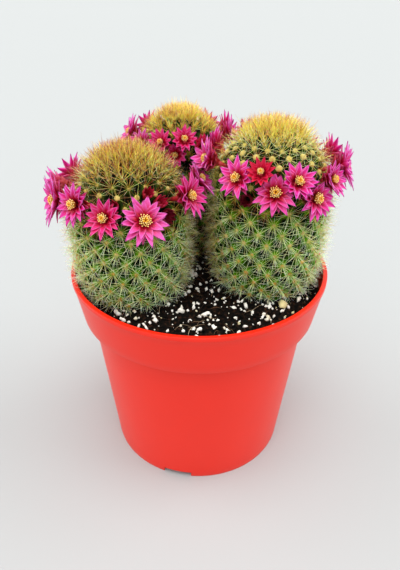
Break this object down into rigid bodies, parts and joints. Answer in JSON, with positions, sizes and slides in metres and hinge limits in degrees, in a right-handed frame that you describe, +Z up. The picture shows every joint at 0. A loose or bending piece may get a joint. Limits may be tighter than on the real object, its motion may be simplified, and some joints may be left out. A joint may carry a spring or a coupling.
{
  "type": "potted round cactus",
  "caption": "Clump of round, spiny cactus stems with rings of magenta flowers and golden crowns, in soil with perlite in a small orange-red plastic nursery pot",
  "frame": {"origin": "on the pot's axis, on the surface that the pot's foot stands on", "axes": "+Z up; -Y is the front, towards the viewer; +X is to the viewer's right, where the tallest stem stands"},
  "size_m": [0.1318, 0.12, 0.1695],
  "materials": {
    "pot_plastic": "satin",
    "potting_mix": "matte",
    "cactus_flesh": "matte",
    "petals": "matte",
    "bud_skin": "matte",
    "spine_horn": "satin",
    "areole_wool": "matte",
    "stamen": "matte",
    "perlite": "matte"
  },
  "bodies": {
    "root": {"pot": "pot_plastic", "soil": "potting_mix", "stem_left": "cactus_flesh", "stem_right": "cactus_flesh", "stem_back": "cactus_flesh", "bloom_left_1": "petals", "bloom_left_2": "petals", "bloom_left_3": "petals", "bloom_left_4": "petals", "bloom_left_5": "petals", "bloom_left_6": "petals", "bloom_left_7": "petals", "bloom_left_8": "petals", "bloom_left_9": "petals", "bloom_left_10": "petals", "bud_left_1": "bud_skin", "bud_left_2": "bud_skin", "bud_left_3": "bud_skin", "bud_left_4": "bud_skin", "bloom_right_1": "petals", "bloom_right_2": "petals", "bloom_right_3": "petals", "bloom_right_4": "petals", "bloom_right_5": "petals", "bloom_right_6": "petals", "bloom_right_7": "petals", "bloom_right_8": "petals", "bloom_right_9": "petals", "bloom_right_10": "petals", "bloom_right_11": "petals", "bloom_right_12": "petals", "bloom_right_13": "petals", "bud_right_1": "bud_skin", "bud_right_2": "bud_skin", "bud_right_3": "bud_skin", "bloom_back_1": "petals", "bloom_back_2": "petals", "bloom_back_3": "petals", "bloom_back_4": "petals", "bloom_back_5": "petals", "bloom_back_6": "petals", "bloom_back_7": "petals", "bloom_back_8": "petals", "bloom_back_9": "petals", "bloom_back_10": "petals", "bloom_back_11": "petals"}
  },
  "joints": []
}
